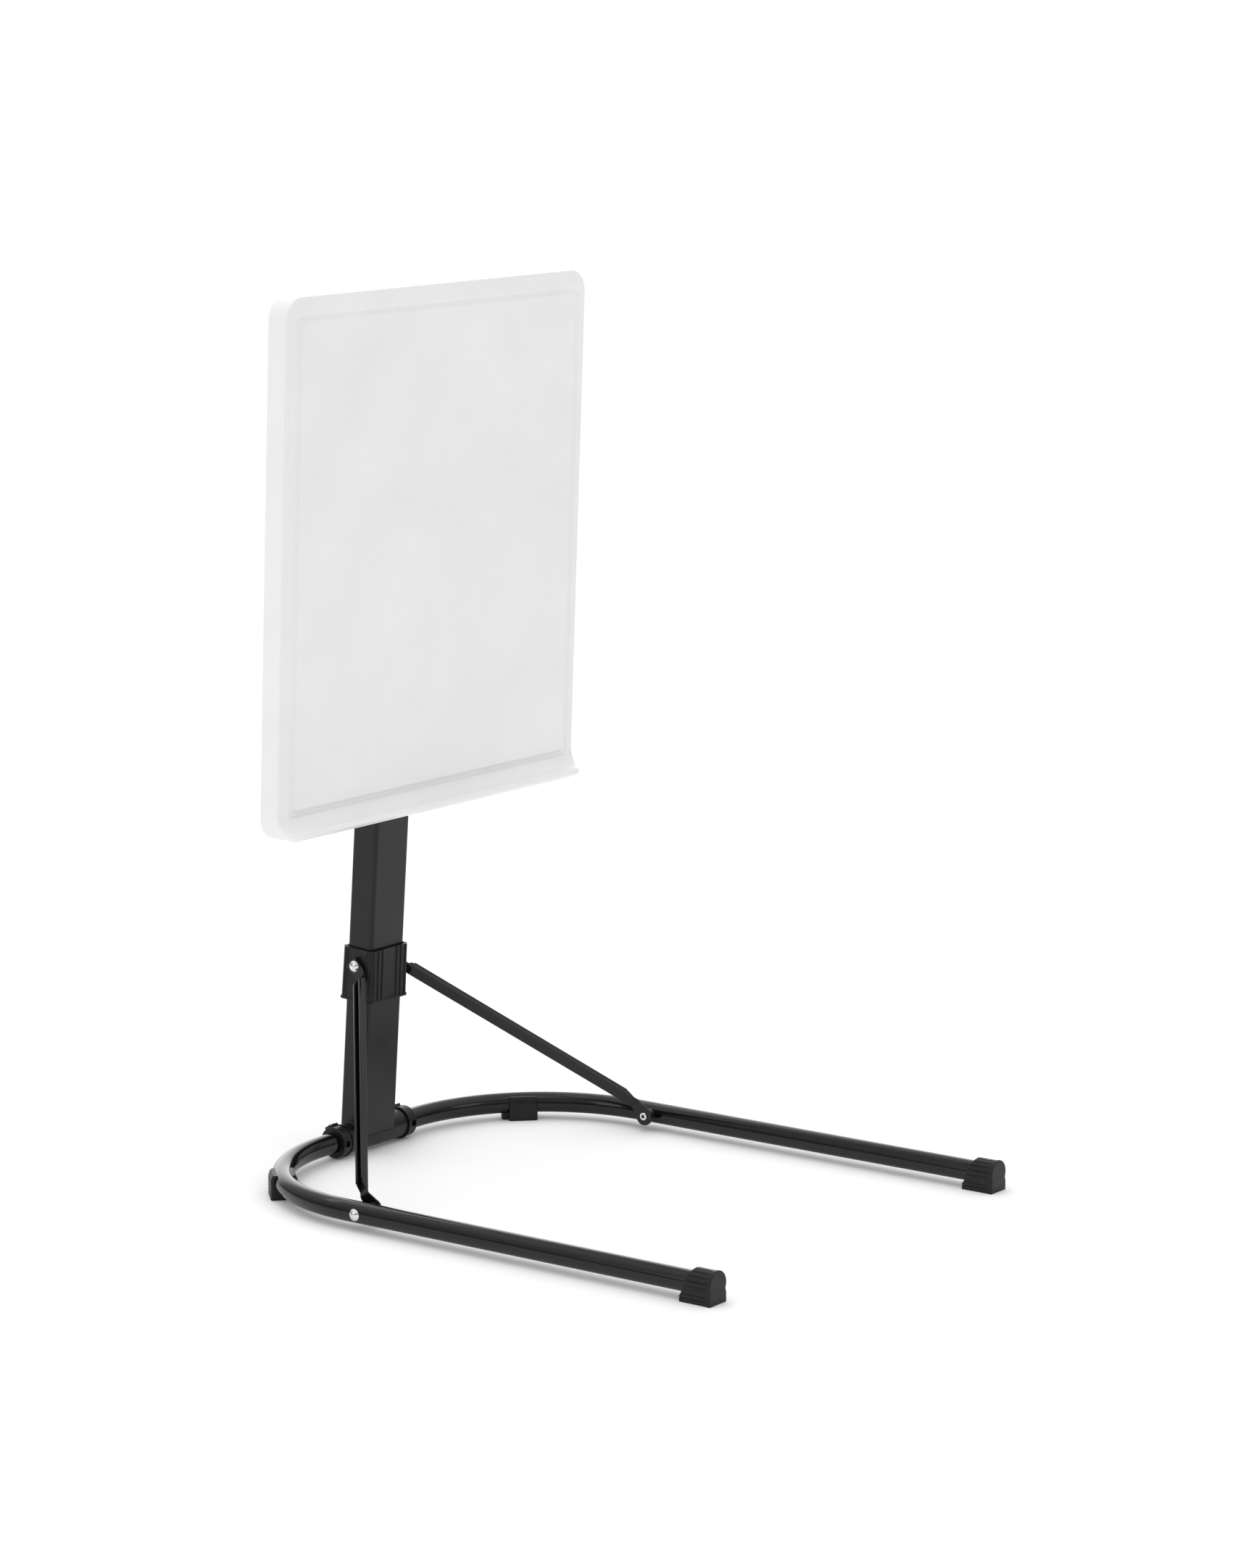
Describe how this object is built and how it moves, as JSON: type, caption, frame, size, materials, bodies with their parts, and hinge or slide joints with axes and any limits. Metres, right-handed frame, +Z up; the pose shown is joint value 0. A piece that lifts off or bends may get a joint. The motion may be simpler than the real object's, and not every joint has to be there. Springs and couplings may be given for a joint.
{
  "type": "portable drawing board",
  "caption": "Portrait drawing board with a pencil ledge that tilts and slides on a folding column, braced to a U-shaped floor frame.",
  "frame": {"origin": "middle of the object's footprint, on the floor", "axes": "+Z up, -Y towards the user over the two legs, +X to the user's right"},
  "size_m": [0.5224, 0.6442, 0.9151],
  "materials": {
    "white_board": "smooth moulded white",
    "black_powder_coat": "gloss black powder coat",
    "black_plastic": "satin moulded black",
    "nylon": "plain moulded nylon",
    "rivet_steel": "bright plated",
    "zinc_steel": "zinc plated",
    "cast_head": "die cast, black enamel"
  },
  "bodies": {
    "floor_frame": {"base_frame": "black_powder_coat", "front_foot_left": "black_plastic", "front_foot_right": "black_plastic", "rear_foot_left": "black_plastic", "rear_foot_right": "black_plastic", "rear_foot_screws": "zinc_steel", "sleeve_ring_left": "black_plastic", "sleeve_ring_right": "black_plastic", "sleeve_ring_screws": "rivet_steel", "leg_rivets": "rivet_steel", "brace_spacers": "nylon"},
    "column": {"pivot_sleeve": "black_powder_coat", "column_tube": "black_powder_coat", "column_cap": "black_plastic", "height_nut": "black_powder_coat"},
    "height_clamp": {"height_knob": "black_plastic", "height_knob_stud": "zinc_steel"},
    "collar": {"slide_collar": "black_plastic"},
    "left_brace": {"brace_left": "black_powder_coat", "brace_rivet_left": "rivet_steel"},
    "right_brace": {"brace_right": "black_powder_coat", "brace_rivet_right": "rivet_steel"},
    "mast": {"mast_tube": "zinc_steel", "mast_slider": "nylon", "tilt_head": "cast_head", "tilt_washers": "nylon", "tilt_stop_pin": "zinc_steel"},
    "board_assembly": {"board": "white_board", "board_bracket": "black_powder_coat", "bracket_screws": "zinc_steel", "tilt_shaft": "zinc_steel"},
    "tilt_clamp": {"tilt_knob": "black_plastic"}
  },
  "joints": [
    {"name": "column_fold", "type": "hinge", "parent": "floor_frame", "child": "column", "pos_m": [0, 0.3049, 0.0175], "axis": [1, 0, 0], "range_deg": [0, 72.5]},
    {"name": "collar_slide", "type": "slide", "parent": "column", "child": "collar", "axis": [0, -0.0685, 0.9976], "range_m": [0, 0.2597]},
    {"name": "left_brace_swing", "type": "hinge", "parent": "floor_frame", "child": "left_brace", "pos_m": [-0.227, 0.1099, 0.0175], "axis": [1, 0, 0], "range_deg": [0, 110.9]},
    {"name": "right_brace_swing", "type": "hinge", "parent": "floor_frame", "child": "right_brace", "pos_m": [0.227, 0.1099, 0.0175], "axis": [1, 0, 0], "range_deg": [0, 110.9]},
    {"name": "mast_slide", "type": "slide", "parent": "column", "child": "mast", "axis": [0, -0.0685, 0.9976], "range_m": [0, 0.15]},
    {"name": "board_tilt", "type": "hinge", "parent": "mast", "child": "board_assembly", "pos_m": [0, 0.25802, 0.69989], "axis": [1, 0, 0], "range_deg": [-92.2, 0]},
    {"name": "tilt_knob_turn", "type": "hinge", "parent": "board_assembly", "child": "tilt_clamp", "pos_m": [0, 0.25802, 0.69989], "axis": [1, 0, 0], "range_deg": [0, 360]},
    {"name": "height_knob_turn", "type": "hinge", "parent": "column", "child": "height_clamp", "pos_m": [0, 0.29837, 0.55031], "axis": [0, 0.9976, 0.0685], "range_deg": [0, 360]}
  ],
  "couplings": [
    {"joint": "collar_slide", "follows": "column_fold", "m_per_rad": 0.2049},
    {"joint": "left_brace_swing", "follows": "column_fold", "ratio": 1.5261},
    {"joint": "right_brace_swing", "follows": "column_fold", "ratio": 1.5261}
  ]
}
